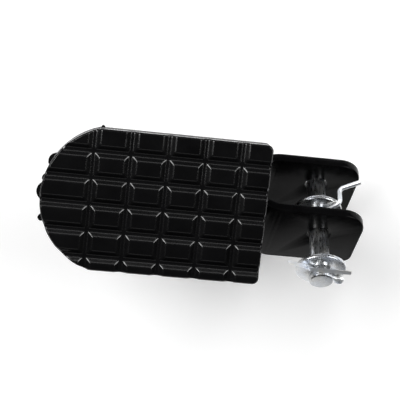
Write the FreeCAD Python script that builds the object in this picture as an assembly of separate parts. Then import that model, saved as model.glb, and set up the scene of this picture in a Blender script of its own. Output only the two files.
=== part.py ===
import FreeCAD, Part
import math
import os

# A tailgate step: a rubber-shod D-shaped tread on a steel plate and keel, with a
# clevis at one end that pins to two lugs on the truck.
#
# Row frame, millimetres: +Z up with the tread level, +X from the tread to the
# clevis. The origin is on the pivot pin's axis, midway along the stretch of pin
# that the truck's inner lug sits on.
#
# The clevis is rolled about X. Its parts are drawn upright, with the pin along
# +Y and the ears' height along +Z, and are rolled into place at the end.

V = FreeCAD.Vector
X_AXIS = V(1, 0, 0)
Y_AXIS = V(0, 1, 0)
Z_AXIS = V(0, 0, 1)
H = math.sqrt(0.5)
OVERRUN = 5.0               # how far a cutter runs past what it cuts
SAME = 0.01                 # heights closer than this count as equal

# Clevis
ROLL_DEG = -45.0            # roll of the pin axis about X, away from the tread's plane
PLATE = 6.35                # strap and deck plate, 1/4 in
GAP = 35.2                  # clear gap between the ears
EAR_TOP = 23.2              # pin axis to the ear's top edge
EAR_BOTTOM = 31.5           # pin axis to the ear's bottom edge
EAR_NOSE = 28.5             # pin axis to the ear's end
BEND_START = 27.7           # pin axis to where the bow's bend begins
TOP_CORNER = 16.0
BOTTOM_CORNER = 7.0
EAR_HOLE_R = 7.94           # 5/8 in hole

# Pin and what is on it
PIN_R = 6.35                # 1/2 in clevis pin
PIN_LENGTH = 88.9           # 3-1/2 in under the head
PIN_CHAMFER = 1.2
HEAD_R = 7.94
HEAD_LENGTH = 3.97
HEAD_EDGE = 0.7
WASHER_R = 16.6
WASHER_BORE_R = 6.75
WASHER_LENGTH = 2.6
COTTER_R = 1.6              # 1/8 in cotter, two half-round legs
COTTER_HOLE_R = 1.85
LEG_SPLIT = 0.1             # half the space between the two legs
EYE_BORE_R = 1.9
EYE_OVERLAP = 0.9           # how far the loop's wire runs into the legs
INNER_COTTER_DEG = 52.5     # direction of each cross hole, from +X towards the ears' top
OUTER_COTTER_DEG = 152.0
INNER_LEG_BEND_R = 3.2
INNER_LEG_OUT = 19.6        # first bend, from the pin's axis
INNER_LEG_HOOK = 11.7       # run along the pin, past the washer's rim
INNER_LEG_TIP = 16.2        # last run, turned outwards again
INNER_TIP_TURN_DEG = -13.5
INNER_EYE_BACK = 1.5        # from the shank's surface to the loop's root
OUTER_EYE_BACK = 6.8
OUTER_STRAIGHT = 15.0       # straight run of the long leg, from the pin's axis
OUTER_TIP_DEG = 158.5
OUTER_TIP_OUT = 25.3
OUTER_LEG_BEND_R = 6.0
RETURN_OUT = 10.4           # where the short leg turns back, from the pin's axis
RETURN_START_X = -11.0      # ends of its run back over the pin's head
RETURN_END_X = 17.7
RETURN_OVER_HEAD = 1.5      # how far along the head that run lies
RETURN_CLEAR = 0.1
RETURN_BEND_R = 2.2
INNER_LUG_SPACE = 20.8      # pin stretch from the far ear to the inner washer
OUTER_LUG_SPACE = 25.75     # pin stretch from the near ear to the outer washer
COTTER_TO_WASHER = 0.3
COTTER_TO_HEAD = 1.4

# Tread
TREAD_END_X = -41.7         # the tread's square end
ROUND_END_X = -138.5        # centre of the rounded end
ROUND_END_R = 47.4
HALF_WIDTH = 45.5
SQUARE_CORNER = 4.0
SMALLEST_CORNER = 1.2
PIN_ABOVE_CLEVIS = (EAR_BOTTOM - EAR_TOP) / 2
PITCH_X = 23.5
PITCH_Y = 16.9
FIRST_GROOVE_X = -154.7
FIRST_GROOVE_Y = 31.1
GROOVES = 5
GROOVE_FLOOR = 1.8
GROOVE_DEPTH = 2.6
GROOVE_BEVEL = 3.2
GROOVE_OVERCUT = 1.2        # the cutter's bevels run on past the top by this factor
SKIN = 3.3                  # rubber under the grooves
WALL = 3.2                  # rubber round the plate's edge
LIP = 3.0                   # lip under the plate
LIP_REACH = 10.0
LIP_MOUTH = 70.2            # opening in the lip, where the clevis and the keel pass
RIM_CHAMFER = 0.9
RIM_LUGS = [                # angle about the rounded end, radius, how far it stands proud
    (104.5, 1.3, 0.8),
    (152.0, 5.3, 2.3),
    (168.0, 3.0, 1.2),
    (178.8, 6.4, 3.1),
    (199.5, 2.2, 3.8),
]
LUG_THICK = 2.6

# Keel
ANGLE_LEG = 38.1
ANGLE_THICK = 4.76
KEEL_FAR_X = -152.0
KEEL_NEAR_X = -46.0
BEAD = 3.0
WELD_FAR_X = -58.0          # the clevis weld lies between here and the keel's near end
BODY_GAP = 0.4
KEEL_BEAD_WIDE = 3.8        # bead's reach beside the keel at the plate, and at the leg's tip
KEEL_BEAD_LOW_WIDE = 2.6
KEEL_BEAD_RISE = 1.0
KEEL_BEAD_START = 2.0
KEEL_BEAD_SHORTER = 8.0
CLEVIS_CLEAR = 0.35         # clevis's upper corner to the deck plate's underside

# Places that follow from the sizes above, all in the upright clevis frame
FAR_FACE_Y = INNER_LUG_SPACE / 2
MID_GAP_Y = FAR_FACE_Y - GAP / 2
NEAR_FACE_Y = MID_GAP_Y - GAP / 2
NEAR_OUTER_Y = NEAR_FACE_Y - PLATE
BOW_R = GAP / 2 + PLATE
INNER_WASHER_Y = -INNER_LUG_SPACE / 2 - WASHER_LENGTH
INNER_COTTER_Y = INNER_WASHER_Y - COTTER_TO_WASHER - COTTER_R
OUTER_WASHER_Y = NEAR_OUTER_Y - OUTER_LUG_SPACE - WASHER_LENGTH
OUTER_COTTER_Y = OUTER_WASHER_Y - COTTER_TO_WASHER - COTTER_R
HEAD_BACK_Y = OUTER_COTTER_Y - COTTER_R - COTTER_TO_HEAD
PIN_FAR_Y = HEAD_BACK_Y + PIN_LENGTH

# The tread's groove floor stands so that the deck plate's underside meets the
# clevis's upper corner, with the clevis centred under the tread.
ROLL = math.radians(ROLL_DEG)
CORNER_Y = NEAR_OUTER_Y
CORNER_Z = EAR_TOP
DECK_BOTTOM = CORNER_Y * math.sin(ROLL) + CORNER_Z * math.cos(ROLL) + CLEVIS_CLEAR
FLOOR_Z = DECK_BOTTOM + PLATE + SKIN
CENTRE_Y = MID_GAP_Y * math.cos(ROLL) + PIN_ABOVE_CLEVIS * math.sin(ROLL)


def rolled(shape):
    """Turn a shape drawn in the upright clevis frame into the row frame."""
    shape.rotate(V(0, 0, 0), X_AXIS, ROLL_DEG)
    return shape


def prism(points, direction):
    """Extrude a closed polygon."""
    wire = Part.makePolygon(points + [points[0]])
    return Part.Face(wire).extrude(direction)


def ring(radius, bore, length, y):
    """A washer-like ring about the pin axis, from y towards +Y."""
    outer = Part.makeCylinder(radius, length, V(0, y, 0), Y_AXIS)
    hole = Part.makeCylinder(bore, length + 2 * OVERRUN, V(0, y - OVERRUN, 0), Y_AXIS)
    return outer.cut(hole)


def bow_solid(radius, z_low, z_high):
    """The U's filled outline at a given half width, open end squared off at the ears' nose."""
    height = z_high - z_low
    bend = Part.makeCylinder(radius, height, V(-BEND_START, MID_GAP_Y, z_low), Z_AXIS)
    run = Part.makeBox(BEND_START + EAR_NOSE, 2 * radius, height,
                       V(-BEND_START, MID_GAP_Y - radius, z_low))
    return bend.fuse(run)


def ear_outline():
    """Side profile that trims both ears, with the nose's two rounded corners."""
    low = -EAR_BOTTOM
    far_x = -BEND_START - BOW_R - OVERRUN
    r1 = TOP_CORNER
    r2 = BOTTOM_CORNER
    edges = [
        Part.LineSegment(V(far_x, 0, low), V(EAR_NOSE - r2, 0, low)),
        Part.Arc(V(EAR_NOSE - r2, 0, low), V(EAR_NOSE - r2 + r2 * H, 0, low + r2 - r2 * H),
                 V(EAR_NOSE, 0, low + r2)),
        Part.LineSegment(V(EAR_NOSE, 0, low + r2), V(EAR_NOSE, 0, EAR_TOP - r1)),
        Part.Arc(V(EAR_NOSE, 0, EAR_TOP - r1), V(EAR_NOSE - r1 + r1 * H, 0, EAR_TOP - r1 + r1 * H),
                 V(EAR_NOSE - r1, 0, EAR_TOP)),
        Part.LineSegment(V(EAR_NOSE - r1, 0, EAR_TOP), V(far_x, 0, EAR_TOP)),
        Part.LineSegment(V(far_x, 0, EAR_TOP), V(far_x, 0, low)),
    ]
    return Part.Wire([edge.toShape() for edge in edges])


def clevis_strap():
    """One strap bent into a U, with the pin holes through both ears."""
    outer = bow_solid(BOW_R, -EAR_BOTTOM, EAR_TOP)
    inner = bow_solid(GAP / 2, -EAR_BOTTOM - OVERRUN, EAR_TOP + OVERRUN)
    mouth = Part.makeBox(2 * OVERRUN, GAP, EAR_BOTTOM + EAR_TOP + 2 * OVERRUN,
                         V(EAR_NOSE - OVERRUN, MID_GAP_Y - GAP / 2, -EAR_BOTTOM - OVERRUN))
    strap = outer.cut(inner.fuse(mouth))
    across = V(0, 2 * (BOW_R + OVERRUN), 0)
    side = V(0, MID_GAP_Y - BOW_R - OVERRUN, 0)
    trim = Part.Face(ear_outline())
    trim.translate(side)
    strap = strap.common(trim.extrude(across))
    hole = Part.makeCylinder(EAR_HOLE_R, across.y, side, Y_AXIS)
    strap = strap.cut(hole).removeSplitter()
    return rolled(strap)


def cross_direction(angle_deg):
    """Unit vector in the plane across the pin, measured from +X towards +Z."""
    a = math.radians(angle_deg)
    return V(math.cos(a), 0, math.sin(a))


def pivot_pin():
    """Headed pin, cross-drilled for the two cotters."""
    shank = Part.makeCylinder(PIN_R, PIN_LENGTH - PIN_CHAMFER, V(0, HEAD_BACK_Y, 0), Y_AXIS)
    tip = Part.makeCone(PIN_R, PIN_R - PIN_CHAMFER, PIN_CHAMFER,
                        V(0, PIN_FAR_Y - PIN_CHAMFER, 0), Y_AXIS)
    head = Part.makeCylinder(HEAD_R, HEAD_LENGTH - HEAD_EDGE,
                             V(0, HEAD_BACK_Y - HEAD_LENGTH + HEAD_EDGE, 0), Y_AXIS)
    crown = Part.makeCone(HEAD_R - HEAD_EDGE, HEAD_R, HEAD_EDGE,
                          V(0, HEAD_BACK_Y - HEAD_LENGTH, 0), Y_AXIS)
    pin = shank.fuse([tip, head, crown])
    for y, angle in ((INNER_COTTER_Y, INNER_COTTER_DEG), (OUTER_COTTER_Y, OUTER_COTTER_DEG)):
        d = cross_direction(angle)
        start = V(0, y, 0) - d * (2 * PIN_R)
        pin = pin.cut(Part.makeCylinder(COTTER_HOLE_R, 4 * PIN_R, start, d))
    return rolled(pin.removeSplitter())


def washer(y_low):
    """A plain washer, loose on the pin."""
    return rolled(ring(WASHER_R, WASHER_BORE_R, WASHER_LENGTH, y_low))


def path_wire(points, radius):
    """Straight runs joined by tangent arcs of one radius."""
    edges = []
    start = points[0]
    for i in range(1, len(points) - 1):
        corner = points[i]
        u = (points[i - 1] - corner).normalize()
        w = (points[i + 1] - corner).normalize()
        half = u.getAngle(w) / 2
        reach = radius / math.tan(half)
        a = corner + u * reach
        b = corner + w * reach
        bisector = (u + w).normalize()
        middle = corner + bisector * (radius / math.sin(half) - radius)
        edges.append(Part.LineSegment(start, a).toShape())
        edges.append(Part.Arc(a, middle, b).toShape())
        start = b
    edges.append(Part.LineSegment(start, points[-1]).toShape())
    return Part.Wire(edges)


def half_round(at, along, flat_normal):
    """Half-disc wire across a leg: flat side facing against flat_normal."""
    side = along.cross(flat_normal)
    base = at + flat_normal * LEG_SPLIT
    r = COTTER_R - LEG_SPLIT
    a = base + side * r
    b = base - side * r
    top = base + flat_normal * r
    return Part.Wire([Part.Arc(a, top, b).toShape(), Part.LineSegment(b, a).toShape()])


def leg(points, bend, flat_normal):
    """One half-round leg swept along its bends."""
    along = (points[1] - points[0]).normalize()
    path = path_wire(points, bend)
    return path.makePipeShell([half_round(points[0], along, flat_normal)], True, False)


def eye(centre):
    """The cotter's loop: half-round wire with its flat side inwards."""
    a = centre + X_AXIS * EYE_BORE_R + Y_AXIS * COTTER_R
    b = centre + X_AXIS * EYE_BORE_R - Y_AXIS * COTTER_R
    top = centre + X_AXIS * (EYE_BORE_R + COTTER_R)
    face = Part.Face(Part.Wire([Part.Arc(a, top, b).toShape(), Part.LineSegment(b, a).toShape()]))
    return face.revolve(centre, Y_AXIS, 360)


def inner_cotter_pin():
    """Both legs run out together, hook past the washer's rim and turn out again."""
    d = cross_direction(INNER_COTTER_DEG)
    across = cross_direction(INNER_COTTER_DEG - 90)
    hub = V(0, INNER_COTTER_Y, 0)
    start = hub - d * (PIN_R + INNER_EYE_BACK)
    turn = hub + d * INNER_LEG_OUT
    rise = turn + Y_AXIS * INNER_LEG_HOOK
    tip = rise + cross_direction(INNER_COTTER_DEG + INNER_TIP_TURN_DEG) * INNER_LEG_TIP
    points = [start, turn, rise, tip]
    legs = [leg(points, INNER_LEG_BEND_R, across), leg(points, INNER_LEG_BEND_R, across * -1)]
    loop_centre = start - d * (EYE_BORE_R + COTTER_R - EYE_OVERLAP)
    cotter = eye(loop_centre).fuse(legs)
    return rolled(cotter.removeSplitter())


def outer_cotter_pin():
    """One leg runs on, the other turns back over the pin's head."""
    d = cross_direction(OUTER_COTTER_DEG)
    across = cross_direction(OUTER_COTTER_DEG - 90)
    hub = V(0, OUTER_COTTER_Y, 0)
    start = hub - d * (PIN_R + OUTER_EYE_BACK)
    long_points = [start, hub + d * OUTER_STRAIGHT,
                   hub + cross_direction(OUTER_TIP_DEG) * OUTER_TIP_OUT]
    turn = hub + d * RETURN_OUT
    over_y = HEAD_BACK_Y - RETURN_OVER_HEAD
    over_z = HEAD_R + COTTER_R + RETURN_CLEAR
    short_points = [start, turn, V(RETURN_START_X, over_y, over_z), V(RETURN_END_X, over_y, over_z)]
    legs = [leg(long_points, OUTER_LEG_BEND_R, across * -1),
            leg(short_points, RETURN_BEND_R, across)]
    loop_centre = start - d * (EYE_BORE_R + COTTER_R - EYE_OVERLAP)
    cotter = eye(loop_centre).fuse(legs)
    return rolled(cotter.removeSplitter())


def tread_outline(inset, z):
    """D-shaped wire: straight sides, square end with rounded corners, rounded end."""
    r = ROUND_END_R - inset
    w = HALF_WIDTH - inset
    x1 = TREAD_END_X - inset
    xa = ROUND_END_X - math.sqrt(r * r - w * w)
    c = CENTRE_Y
    k = max(SQUARE_CORNER - inset, SMALLEST_CORNER)
    mid = k * (1 - H)
    edges = [
        Part.LineSegment(V(xa, c - w, z), V(x1 - k, c - w, z)),
        Part.Arc(V(x1 - k, c - w, z), V(x1 - mid, c - w + mid, z), V(x1, c - w + k, z)),
        Part.LineSegment(V(x1, c - w + k, z), V(x1, c + w - k, z)),
        Part.Arc(V(x1, c + w - k, z), V(x1 - mid, c + w - mid, z), V(x1 - k, c + w, z)),
        Part.LineSegment(V(x1 - k, c + w, z), V(xa, c + w, z)),
        Part.Arc(V(xa, c + w, z), V(ROUND_END_X - r, c, z), V(xa, c - w, z)),
    ]
    return Part.Wire([edge.toShape() for edge in edges])


def slab(inset, z_low, z_high):
    """A D-shaped slab."""
    return Part.Face(tread_outline(inset, z_low)).extrude(V(0, 0, z_high - z_low))


def deck_plate():
    """The steel plate inside the rubber."""
    return slab(WALL, DECK_BOTTOM, DECK_BOTTOM + PLATE)


def groove(centre, along, length):
    """A bevelled groove cutter, run along X or along Y."""
    across = Y_AXIS if along.x else X_AXIS
    floor = GROOVE_FLOOR / 2
    top = floor + GROOVE_BEVEL * GROOVE_OVERCUT
    rise = V(0, 0, GROOVE_DEPTH * GROOVE_OVERCUT)
    start = centre - along * (length / 2)
    points = [start - across * floor, start + across * floor,
              start + across * top + rise, start - across * top + rise]
    return prism(points, along * length)


def tread_cover():
    """Rubber shoe: grooved tread, wall round the plate and a lip under its edge."""
    top = FLOOR_Z + GROOVE_DEPTH
    cover = slab(0, DECK_BOTTOM - LIP, top)
    rim = [edge for edge in cover.Edges if abs(edge.BoundBox.ZMin - top) < SAME]
    cover = cover.makeChamfer(RIM_CHAMFER, rim)
    for i in range(GROOVES):
        column = V(FIRST_GROOVE_X + i * PITCH_X, CENTRE_Y, FLOOR_Z)
        row = V(ROUND_END_X, CENTRE_Y + FIRST_GROOVE_Y - i * PITCH_Y, FLOOR_Z)
        cover = cover.cut(groove(column, Y_AXIS, 3 * HALF_WIDTH))
        cover = cover.cut(groove(row, X_AXIS, 6 * HALF_WIDTH))
    lugs = []
    for angle, radius, proud in RIM_LUGS:
        a = math.radians(angle)
        reach = ROUND_END_R + proud - radius
        centre = V(ROUND_END_X + reach * math.cos(a), CENTRE_Y + reach * math.sin(a),
                   DECK_BOTTOM - LIP)
        lugs.append(Part.makeCylinder(radius, LUG_THICK, centre, Z_AXIS))
    cover = cover.fuse(lugs)
    cover = cover.cut(slab(WALL, DECK_BOTTOM, DECK_BOTTOM + PLATE))
    cover = cover.cut(slab(WALL + LIP_REACH, DECK_BOTTOM - LIP - OVERRUN, DECK_BOTTOM + PLATE / 2))
    mouth = Part.makeBox(LIP_REACH + WALL + OVERRUN, LIP_MOUTH, LIP + OVERRUN,
                         V(TREAD_END_X - LIP_REACH - WALL, CENTRE_Y - LIP_MOUTH / 2,
                           DECK_BOTTOM - LIP - OVERRUN))
    return cover.cut(mouth).removeSplitter()


KEEL_APEX_Z = DECK_BOTTOM - H * (ANGLE_LEG + ANGLE_THICK)


def keel_profile(x, grow):
    """Angle section in a V under the plate, optionally grown outwards on all sides."""
    n = ANGLE_LEG + 2 * grow
    t = ANGLE_THICK + 2 * grow
    left = V(0, -H, H)
    right = V(0, H, H)
    apex = V(x, CENTRE_Y, KEEL_APEX_Z) - (left + right) * grow
    return [apex, apex + right * n, apex + right * n + left * t, apex + (left + right) * t,
            apex + left * n + right * t, apex + left * n]


def support_keel():
    """Steel angle, point down, coped to the clevis's bow."""
    keel = prism(keel_profile(KEEL_FAR_X, 0), V(KEEL_NEAR_X - KEEL_FAR_X, 0, 0))
    return keel.cut(rolled(bow_solid(BOW_R, -EAR_BOTTOM, EAR_TOP)))


def keel_welds():
    """Two fillet beads that join the keel's leg tips to the plate."""
    inner_y = H * (ANGLE_LEG - ANGLE_THICK)
    outer_y = H * ANGLE_LEG
    outer_z = KEEL_APEX_Z + H * ANGLE_LEG
    beads = []
    for side in (-1, 1):
        points = [V(0, side * inner_y, DECK_BOTTOM), V(0, side * outer_y, outer_z),
                  V(0, side * (outer_y + KEEL_BEAD_LOW_WIDE), outer_z + KEEL_BEAD_RISE),
                  V(0, side * (outer_y + KEEL_BEAD_WIDE), DECK_BOTTOM)]
        bead = prism(points, V(KEEL_NEAR_X - KEEL_FAR_X - KEEL_BEAD_SHORTER, 0, 0))
        bead.translate(V(KEEL_FAR_X + KEEL_BEAD_START, CENTRE_Y, 0))
        beads.append(bead)
    return Part.makeCompound(beads)


def clevis_weld():
    """Bead round the keel's end where it meets the bow."""
    length = KEEL_NEAR_X - WELD_FAR_X
    collar = prism(keel_profile(WELD_FAR_X, BEAD), V(length, 0, 0))
    collar = collar.common(rolled(bow_solid(BOW_R + BEAD, -EAR_BOTTOM, EAR_TOP)))
    under_lip = DECK_BOTTOM - LIP - BODY_GAP
    collar = collar.common(Part.makeBox(length, 4 * HALF_WIDTH, 2 * under_lip,
                                        V(WELD_FAR_X, -2 * HALF_WIDTH, -under_lip)))
    collar = collar.cut(rolled(bow_solid(BOW_R, -EAR_BOTTOM, EAR_TOP)))
    keel = prism(keel_profile(KEEL_FAR_X, 0), V(KEEL_NEAR_X + ANGLE_LEG - KEEL_FAR_X, 0, 0))
    return collar.cut(keel)


NODES = {
    "tread_cover": tread_cover,
    "deck_plate": deck_plate,
    "support_keel": support_keel,
    "keel_welds": keel_welds,
    "clevis_weld": clevis_weld,
    "clevis_strap": clevis_strap,
    "pivot_pin": pivot_pin,
    "inner_washer": lambda: washer(INNER_WASHER_Y),
    "outer_washer": lambda: washer(OUTER_WASHER_Y),
    "inner_cotter_pin": inner_cotter_pin,
    "outer_cotter_pin": outer_cotter_pin,
}

os.makedirs("parts", exist_ok=True)
for name, make in NODES.items():
    shape = make()
    solids = len(shape.Solids)
    print(name, "valid", shape.isValid(), "solids", solids, "volume", round(shape.Volume, 1))
    shape.exportStep("parts/" + name + ".step")
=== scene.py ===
import math

import bmesh
import bpy
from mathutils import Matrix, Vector, noise
from mathutils.geometry import delaunay_2d_cdt


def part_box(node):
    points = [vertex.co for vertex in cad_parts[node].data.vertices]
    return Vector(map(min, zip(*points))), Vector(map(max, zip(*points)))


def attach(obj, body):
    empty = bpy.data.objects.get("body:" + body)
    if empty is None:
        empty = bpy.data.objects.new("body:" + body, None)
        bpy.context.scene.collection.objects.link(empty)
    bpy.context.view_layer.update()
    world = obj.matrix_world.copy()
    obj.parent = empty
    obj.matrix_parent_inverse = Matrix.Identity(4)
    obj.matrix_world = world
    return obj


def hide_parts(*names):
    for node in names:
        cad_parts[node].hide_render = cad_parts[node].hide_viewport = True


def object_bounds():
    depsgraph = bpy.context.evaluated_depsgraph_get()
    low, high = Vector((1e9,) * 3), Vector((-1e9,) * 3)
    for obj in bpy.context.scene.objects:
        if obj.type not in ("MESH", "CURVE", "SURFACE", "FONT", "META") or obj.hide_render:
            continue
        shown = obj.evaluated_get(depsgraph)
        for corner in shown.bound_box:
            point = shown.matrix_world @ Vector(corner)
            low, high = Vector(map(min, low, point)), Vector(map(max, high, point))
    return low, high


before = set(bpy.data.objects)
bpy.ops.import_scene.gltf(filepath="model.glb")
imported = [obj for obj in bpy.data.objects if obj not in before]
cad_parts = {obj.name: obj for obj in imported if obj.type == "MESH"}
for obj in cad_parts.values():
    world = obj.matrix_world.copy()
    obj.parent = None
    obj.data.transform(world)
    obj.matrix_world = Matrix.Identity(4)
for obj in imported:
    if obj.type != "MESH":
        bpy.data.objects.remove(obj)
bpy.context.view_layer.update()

MM = 0.001
PIN_AXIS = Vector((0, 1, -1)).normalized()
PIN_ROLL_DEG = -45
SHARP = math.radians(28)     # edges that turn by more than this are rounded
FACET = math.radians(1)      # CAD facets that turn by less than this are merged
SAME_PLACE = 1e-6            # metres
HOLE_REACH = 9.5 * MM        # edges nearer the pin's axis than this belong to the holes
PAINT_SPECULAR = 0.06
FLOOR_GLOW = 0.3


# ---------------------------------------------------------------- node helpers

def new_material(name):
    """A material, its nodes, its links and its shader."""
    m = bpy.data.materials.new(name)
    m.use_nodes = True
    return m, m.node_tree.nodes, m.node_tree.links, m.node_tree.nodes["Principled BSDF"]


def ramp(nodes, stops):
    """Colour ramp with the given (position, colour) stops."""
    r = nodes.new("ShaderNodeValToRGB")
    e = r.color_ramp.elements
    while len(e) < len(stops):
        e.new(0.5)
    for i, (p, c) in enumerate(stops):
        e[i].position = p
        e[i].color = c if len(c) == 4 else (*c, 1)
    return r


def grey(v):
    return (v, v, v, 1)


def noise_tex(nodes, links, coord, scale, detail=3, rough=0.5, along_pin=None):
    """Noise, drawn out along the pivot pin by the given factor if there is one."""
    n = nodes.new("ShaderNodeTexNoise")
    n.inputs["Scale"].default_value = scale
    n.inputs["Detail"].default_value = detail
    n.inputs["Roughness"].default_value = rough
    if along_pin:
        turn = nodes.new("ShaderNodeMapping")
        turn.vector_type = "TEXTURE"
        turn.inputs["Rotation"].default_value = (math.radians(PIN_ROLL_DEG), 0, 0)
        turn.inputs["Scale"].default_value = (1, along_pin, 1)
        links.new(coord, turn.inputs["Vector"])
        coord = turn.outputs["Vector"]
    links.new(coord, n.inputs["Vector"])
    return n.outputs["Fac"]


def bump(nodes, links, bsdf, layers):
    """Stack bump layers, each a height, a strength and a distance in metres."""
    last = None
    for height, strength, distance in layers:
        b = nodes.new("ShaderNodeBump")
        b.inputs["Strength"].default_value = strength
        b.inputs["Distance"].default_value = distance
        links.new(height, b.inputs["Height"])
        if last:
            links.new(last, b.inputs["Normal"])
        last = b.outputs["Normal"]
    links.new(last, bsdf.inputs["Normal"])


def rubber_material():
    """Semi-gloss black rubber, faintly clouded, with a moulded grain."""
    m, nodes, links, bsdf = new_material("tread_rubber")
    coord = nodes.new("ShaderNodeTexCoord").outputs["Object"]
    cloud = noise_tex(nodes, links, coord, 55, 5, 0.6)
    fine = noise_tex(nodes, links, coord, 900, 3, 0.6)
    grain = noise_tex(nodes, links, coord, 3200, 2, 0.6)
    colour = ramp(nodes, [(0.3, (0.0016, 0.0016, 0.0018)), (0.7, (0.0034, 0.0034, 0.0037))])
    links.new(cloud, colour.inputs["Fac"])
    links.new(colour.outputs["Color"], bsdf.inputs["Base Color"])
    rough = ramp(nodes, [(0.3, grey(0.17)), (0.72, grey(0.23))])
    links.new(fine, rough.inputs["Fac"])
    links.new(rough.outputs["Color"], bsdf.inputs["Roughness"])
    bump(nodes, links, bsdf, [(cloud, 0.2, 0.0005), (fine, 0.05, 0.00015), (grain, 0.03, 0.00004)])
    return m


def paint_material():
    """Gloss black paint with a slight orange peel."""
    m, nodes, links, bsdf = new_material("black_paint")
    coord = nodes.new("ShaderNodeTexCoord").outputs["Object"]
    peel = noise_tex(nodes, links, coord, 420, 2, 0.5)
    cloud = noise_tex(nodes, links, coord, 60, 4, 0.6)
    colour = ramp(nodes, [(0.3, (0.0014, 0.0014, 0.0016)), (0.7, (0.003, 0.003, 0.0032))])
    links.new(cloud, colour.inputs["Fac"])
    links.new(colour.outputs["Color"], bsdf.inputs["Base Color"])
    rough = ramp(nodes, [(0.3, grey(0.16)), (0.7, grey(0.24))])
    links.new(cloud, rough.inputs["Fac"])
    links.new(rough.outputs["Color"], bsdf.inputs["Roughness"])
    bsdf.inputs["Specular IOR Level"].default_value = PAINT_SPECULAR
    bump(nodes, links, bsdf, [(peel, 0.1, 0.0003)])
    return m


def zinc_material(name, base, rough_range, scuffs):
    """Bright zinc plate: a clouded, faintly blue or yellow tint, with fine scuffs."""
    m, nodes, links, bsdf = new_material(name)
    coord = nodes.new("ShaderNodeTexCoord").outputs["Object"]
    cloud = noise_tex(nodes, links, coord, 140, 4, 0.6)
    scuff = noise_tex(nodes, links, coord, 900, 4, 0.65, along_pin=5)
    fine = noise_tex(nodes, links, coord, 2200, 3, 0.6)
    cool = tuple(c * base for c in (0.92, 0.97, 1.06))
    warm = tuple(c * base for c in (1.03, 1.02, 0.98))
    colour = ramp(nodes, [(0.3, cool), (0.72, warm)])
    links.new(cloud, colour.inputs["Fac"])
    links.new(colour.outputs["Color"], bsdf.inputs["Base Color"])
    bsdf.inputs["Metallic"].default_value = 1.0
    rough = ramp(nodes, [(0.32, grey(rough_range[0])), (0.7, grey(rough_range[1]))])
    links.new(scuff, rough.inputs["Fac"])
    links.new(rough.outputs["Color"], bsdf.inputs["Roughness"])
    bump(nodes, links, bsdf, [(scuff, scuffs, 0.0001), (fine, 0.08, 0.00004)])
    return m


def floor_material():
    """Plain pale floor, lit a little from within so that it stays even."""
    m, nodes, links, bsdf = new_material("floor")
    coord = nodes.new("ShaderNodeTexCoord").outputs["Object"]
    cloud = noise_tex(nodes, links, coord, 6, 3, 0.5)
    colour = ramp(nodes, [(0.3, grey(0.86)), (0.7, grey(0.9))])
    links.new(cloud, colour.inputs["Fac"])
    links.new(colour.outputs["Color"], bsdf.inputs["Base Color"])
    bsdf.inputs["Roughness"].default_value = 0.8
    bsdf.inputs["Emission Color"].default_value = (1, 1, 1, 1)
    bsdf.inputs["Emission Strength"].default_value = FLOOR_GLOW
    return m


RUBBER = rubber_material()
PAINT = paint_material()
PIN_ZINC = zinc_material("pin_zinc", 0.62, (0.18, 0.42), 0.1)
WASHER_ZINC = zinc_material("washer_zinc", 0.7, (0.2, 0.36), 0.06)
WIRE_ZINC = zinc_material("wire_zinc", 0.95, (0.42, 0.58), 0.05)


# ---------------------------------------------------------------- mesh helpers

def dress(obj, material):
    """Give an object one material and smooth shading."""
    obj.data.materials.clear()
    obj.data.materials.append(material)
    for p in obj.data.polygons:
        p.use_smooth = True


def cad_copy(name):
    """A bmesh copy of a CAD node, with its flat facets merged."""
    bm = bmesh.new()
    bm.from_mesh(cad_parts[name].data)
    bmesh.ops.remove_doubles(bm, verts=bm.verts, dist=SAME_PLACE)
    bmesh.ops.dissolve_limit(bm, angle_limit=FACET, verts=bm.verts, edges=bm.edges)
    return bm


def add_piece(piece, bm, material, body, node):
    """Turn a bmesh into a piece that stands for a CAD node."""
    me = bpy.data.meshes.new(piece)
    bm.to_mesh(me)
    bm.free()
    obj = bpy.data.objects.new(piece, me)
    bpy.context.scene.collection.objects.link(obj)
    dress(obj, material)
    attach(obj, body)
    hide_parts(node)
    return obj


def from_pin_axis(p):
    """Distance of a point from the pivot pin's axis."""
    return (p - PIN_AXIS * p.dot(PIN_AXIS)).length


def refined(name, piece, body, material, width, segments=3, hole_share=1.0):
    """A copy of a CAD node with its edges rounded, the pin holes' edges by a smaller share."""
    bm = cad_copy(name)
    weight = bm.edges.layers.float.new("bevel_weight_edge")
    for edge in bm.edges:
        if edge.calc_face_angle(0) > SHARP:
            in_hole = max(from_pin_axis(v.co) for v in edge.verts) < HOLE_REACH
            edge[weight] = hole_share if in_hole else 1.0
    obj = add_piece(piece, bm, material, body, name)
    bevel = obj.modifiers.new("edges", "BEVEL")
    bevel.width = width
    bevel.segments = segments
    bevel.limit_method = "WEIGHT"
    bevel.harden_normals = True
    bevel.use_clamp_overlap = True
    return obj


# ---------------------------------------------------------------- tread shoe

DECK_LOW, DECK_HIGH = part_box("deck_plate")
COVER_LOW, COVER_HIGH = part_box("tread_cover")
WALL = 3.2 * MM              # rubber round the deck plate's edge
SKIN = 3.3 * MM              # rubber under the grooves
TREAD_TOP = COVER_HIGH.z
FLOOR_TOP = DECK_HIGH.z + SKIN
DEPTH = TREAD_TOP - FLOOR_TOP
CUT_Z = DECK_HIGH.z + 0.9 * MM   # the CAD shoe is kept below this, and the top is rebuilt above it
END_X = COVER_HIGH.x
HALF = (DECK_HIGH.y - DECK_LOW.y) / 2 + WALL
MID_Y = (DECK_HIGH.y + DECK_LOW.y) / 2
ROUND_R = 47.4 * MM
ROUND_X = DECK_LOW.x + ROUND_R - WALL
PITCH_X = 23.5 * MM
PITCH_Y = 16.9 * MM
FIRST_X = ROUND_X - 16.2 * MM
FIRST_Y = MID_Y - 36.5 * MM
GROOVES = 5
FLOOR_HALF = 0.9 * MM        # half the width of a groove's floor
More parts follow.
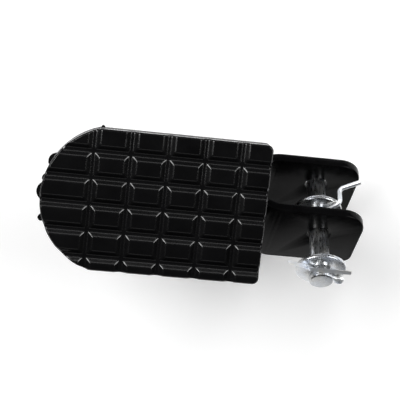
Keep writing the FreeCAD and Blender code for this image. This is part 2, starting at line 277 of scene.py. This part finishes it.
BEVEL_RUN = 3.2 * MM         # width of a groove's bevel
SOFT = 0.75 * MM             # rounding on each side of a bevel's two edges
HIP_SOFT = 0.3               # rounding where two bevels meet, as a share of the depth
CORNER_R = 4.0 * MM          # corners of the square end
SMALLEST_CORNER = 0.3 * MM
RIM_STEP = 0.5 * MM          # spacing of the outline's points
RIM_WIDE = 0.9 * MM          # the rim's chamfer
RIM_BEND = 0.5 * MM          # radius of the chamfer's two corners
RIM_STEPS = 4                # rings on each of those corners
RIM_LAST = 0.4 * MM          # flat ring inside the chamfer
RIM_IN_GROOVE = 0.45         # how much less the rim falls away on a groove's floor
EDGE_CLEAR = 1.9 * MM        # grid points keep this far from the outline
BEVEL_LINES = 16             # sample lines on each side of a groove's middle
WIDEST = 2.4 * MM            # largest space between sample lines
SLOW_WAVE = (90, 3.1, 0.05 * MM)       # waves per metre, level and height of the surface's waviness
QUICK_WAVE = (320, 8.7, 0.015 * MM)
SUNK = 0.06 * MM             # keeps the waves inside the CAD's height
LOWER_EDGE_R = 0.6 * MM      # rounding of the CAD shoe's lower edges


def outline(inset):
    """The tread's D shape, counterclockwise. Every inset gives the same number of points."""
    r = ROUND_R - inset
    w = HALF - inset
    x1 = END_X - inset
    xa = ROUND_X - math.sqrt(r * r - w * w)
    k = max(CORNER_R - inset, SMALLEST_CORNER)
    quarter = math.pi / 2
    side_steps = round((END_X - ROUND_X) / RIM_STEP)
    end_steps = round(2 * HALF / RIM_STEP)
    corner_steps = round(quarter * CORNER_R / RIM_STEP)
    points = []

    def line(x_a, y_a, x_b, y_b, count):
        for i in range(count):
            t = i / count
            points.append(Vector((x_a + (x_b - x_a) * t, y_a + (y_b - y_a) * t)))

    def arc(x, y, radius, start, end, count):
        for i in range(count):
            a = start + (end - start) * i / count
            points.append(Vector((x + radius * math.cos(a), y + radius * math.sin(a))))

    line(xa, MID_Y - w, x1 - k, MID_Y - w, side_steps)
    arc(x1 - k, MID_Y - w + k, k, -quarter, 0, corner_steps)
    line(x1, MID_Y - w + k, x1, MID_Y + w - k, end_steps)
    arc(x1 - k, MID_Y + w - k, k, 0, quarter, corner_steps)
    line(x1 - k, MID_Y + w, xa, MID_Y + w, side_steps)
    a = math.asin(w / r)
    round_steps = round(2 * math.asin(HALF / ROUND_R) * ROUND_R / RIM_STEP)
    arc(ROUND_X, MID_Y, r, math.pi - a, math.pi + a, round_steps)
    return points


def edge_distance(x, y):
    """How far a point lies inside the D shape."""
    d = min(END_X - x, HALF - abs(y - MID_Y))
    if x < ROUND_X:
        d = min(d, ROUND_R - math.hypot(x - ROUND_X, y - MID_Y))
    across = x - (END_X - CORNER_R)
    up = abs(y - MID_Y) - (HALF - CORNER_R)
    if across > 0 and up > 0:
        d = min(d, CORNER_R - math.hypot(across, up))
    return d


def bend(s):
    """A corner from flat to slope 1, rounded over SOFT on each side."""
    if s <= -SOFT:
        return 0.0
    if s >= SOFT:
        return s
    return (s + SOFT) ** 2 / (4 * SOFT)


def groove_share(value, first, pitch):
    """1 on a groove's floor and 0 on the blocks, along one direction."""
    k = min(max(round((value - first) / pitch), 0), GROOVES - 1)
    s = abs(value - first - k * pitch) - FLOOR_HALF
    return 1 - (bend(s) - bend(s - BEVEL_RUN)) / BEVEL_RUN


def groove_share_xy(x, y):
    """Both directions together, with the blocks' hips rounded."""
    a = groove_share(x, FIRST_X, PITCH_X)
    b = groove_share(y, FIRST_Y, PITCH_Y)
    deep = max(a, b)
    soft = max(HIP_SOFT - abs(a - b), 0)
    return deep + soft * soft / HIP_SOFT * deep * (1 - deep)


def wave(x, y, rate, level, height):
    """A gentle unevenness of the moulded surface."""
    return noise.noise(Vector((x * rate, y * rate, level))) * height


def tread_height(x, y, drop):
    """Height of the tread's surface, drop being how far the rim falls away there."""
    share = groove_share_xy(x, y)
    blocks = FLOOR_TOP + DEPTH * (1 - share)
    rim = drop * (1 - RIM_IN_GROOVE * share)
    return blocks - rim + wave(x, y, *SLOW_WAVE) + wave(x, y, *QUICK_WAVE) - SUNK


def rim_profile():
    """Inset and drop of each ring of the rim: a chamfer with its two corners rounded."""
    tilt = math.pi / 4
    reach = RIM_BEND * math.tan(tilt / 2)
    rings = []
    for i in range(RIM_STEPS + 1):
        a = tilt * i / RIM_STEPS
        rings.append((RIM_BEND * (1 - math.cos(a)), RIM_WIDE + reach - RIM_BEND * math.sin(a)))
    for i in range(RIM_STEPS + 1):
        a = tilt * (1 - i / RIM_STEPS)
        rings.append((RIM_WIDE + reach - RIM_BEND * math.sin(a), RIM_BEND * (1 - math.cos(a))))
    return rings + [(RIM_WIDE + reach + RIM_LAST, 0.0)]


def grid_lines(first, pitch, low, high):
    """Sample lines along one direction: close together on the bevels, wider on the blocks."""
    reach = FLOOR_HALF + BEVEL_RUN + SOFT
    lines = []
    for k in range(GROOVES):
        centre = first + k * pitch
        lines += [centre + reach * i / BEVEL_LINES for i in range(-BEVEL_LINES, BEVEL_LINES + 1)]
    stops = [low] + lines + [high]
    for a, b in zip(stops, stops[1:]):
        count = math.ceil((b - a) / WIDEST)
        lines += [a + (b - a) * i / count for i in range(1, count)]
    return sorted(lines)


def tread_top():
    """The grooved top with its rim and the upper part of its wall, as a closed bmesh."""
    points = []
    drops = []
    for inset, drop in rim_profile():
        ring = outline(inset)
        points += ring
        drops += [drop] * len(ring)
    count = len(ring)
    loop = [(i, (i + 1) % count) for i in range(count)]
    for x in grid_lines(FIRST_X, PITCH_X, COVER_LOW.x, END_X):
        for y in grid_lines(FIRST_Y, PITCH_Y, MID_Y - HALF, MID_Y + HALF):
            if edge_distance(x, y) > EDGE_CLEAR:
                points.append(Vector((x, y)))
                drops.append(0.0)
    in_mm = [p / MM for p in points]
    flat, _, faces, origin, _, _ = delaunay_2d_cdt(in_mm, loop, [], 1, 1e-5)
    bm = bmesh.new()
    rim = {}
    verts = []
    for i, p in enumerate(flat):
        source = origin[i][0]
        x = p.x * MM
        y = p.y * MM
        verts.append(bm.verts.new((x, y, tread_height(x, y, drops[source]))))
        if source < count:
            rim[source] = verts[-1]
    for face in faces:
        bm.faces.new([verts[i] for i in face])
    base = [bm.verts.new((rim[i].co.x, rim[i].co.y, CUT_Z)) for i in range(count)]
    for i, j in loop:
        bm.faces.new((base[i], base[j], rim[j], rim[i]))
    bm.faces.new(base[::-1])
    return bm


def tread_shoe():
    """The CAD shoe's lower part with rounded edges, under the sculpted top."""
    bm = cad_copy("tread_cover")
    bmesh.ops.bisect_plane(bm, geom=bm.verts[:] + bm.edges[:] + bm.faces[:],
                           plane_co=(0, 0, CUT_Z), plane_no=(0, 0, 1), clear_outer=True)
    sharp = [e for e in bm.edges if not e.is_boundary and e.calc_face_angle(0) > SHARP]
    bmesh.ops.bevel(bm, geom=sharp, offset=LOWER_EDGE_R, segments=3, profile=0.5,
                    affect="EDGES", clamp_overlap=True)
    bmesh.ops.edgenet_fill(bm, edges=[e for e in bm.edges if e.is_boundary])
    top = tread_top()
    me = bpy.data.meshes.new("tread_top")
    top.to_mesh(me)
    top.free()
    bm.from_mesh(me)
    return bm


# ---------------------------------------------------------------- pieces

add_piece("tread_shoe", tread_shoe(), RUBBER, "step", "tread_cover")
refined("clevis_strap", "bent_strap", "step", PAINT, 0.9 * MM, 4, hole_share=0.25)
refined("deck_plate", "deck", "step", PAINT, 0.4 * MM, 2)
refined("support_keel", "keel", "step", PAINT, 0.7 * MM, 3)
refined("keel_welds", "keel_beads", "step", PAINT, 0.5 * MM, 2)
refined("clevis_weld", "clevis_bead", "step", PAINT, 0.5 * MM, 2)
refined("pivot_pin", "pin", "pin", PIN_ZINC, 0.3 * MM, 3)
refined("inner_washer", "washer_inner", "inner_washer", WASHER_ZINC, 0.5 * MM, 3)
refined("outer_washer", "washer_outer", "outer_washer", WASHER_ZINC, 0.5 * MM, 3)
for cotter in ("inner_cotter_pin", "outer_cotter_pin"):
    dress(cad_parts[cotter], WIRE_ZINC)


# ---------------------------------------------------------------- stage

FLOOR_SIZE = 8
FLOOR_GAP = 0.5 * MM
WORLD_STRENGTH = 0.03
SPREAD_DEG = 150
WIDE_AIM = (-0.1, 0.25, 0.03)
STEP_AIM = (-0.1, 0, 0.03)
WIDE_PANEL = (0.85, 0.42)
SLIM_PANEL = (0.8, 0.3)


def area_light(name, place, target, size, power):
    """A rectangular light at a place, turned towards a target."""
    data = bpy.data.lights.new(name, "AREA")
    data.shape = "RECTANGLE"
    data.size = size[0]
    data.size_y = size[1]
    data.energy = power
    data.spread = math.radians(SPREAD_DEG)
    obj = bpy.data.objects.new(name, data)
    bpy.context.scene.collection.objects.link(obj)
    obj.location = place
    obj.rotation_euler = (Vector(target) - Vector(place)).to_track_quat("-Z", "Y").to_euler()


low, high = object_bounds()
centre = (Vector(low) + Vector(high)) / 2
bpy.ops.mesh.primitive_plane_add(size=FLOOR_SIZE, location=(centre.x, centre.y, low[2] - FLOOR_GAP))
floor = bpy.context.object
floor.name = "floor"
dress(floor, floor_material())

world = bpy.data.worlds.new("studio")
bpy.context.scene.world = world
world.use_nodes = True
world.node_tree.nodes["Background"].inputs["Color"].default_value = (1, 1, 1, 1)
world.node_tree.nodes["Background"].inputs["Strength"].default_value = WORLD_STRENGTH
bpy.context.scene.view_settings.view_transform = "Standard"

area_light("left", (-0.85, 0.43, 0.75), WIDE_AIM, WIDE_PANEL, 10)
area_light("right", (0.72, 0.43, 0.75), WIDE_AIM, WIDE_PANEL, 6.5)
area_light("back", (-0.1, 1.2, 0.9), STEP_AIM, SLIM_PANEL, 0.7)
area_light("front", (-0.1, -1.2, 0.9), STEP_AIM, SLIM_PANEL, 0.3)

camera_data = bpy.data.cameras.new("camera")
camera_data.sensor_width = 36
camera_data.lens = 90
camera_data.clip_start = 0.01
camera = bpy.data.objects.new("camera", camera_data)
bpy.context.scene.collection.objects.link(camera)
camera.location = (-0.14318, 0.09971, 0.67486)
camera.rotation_euler = [math.radians(a) for a in (-9.6893, -4.3028, 6.1298)]
bpy.context.scene.camera = camera
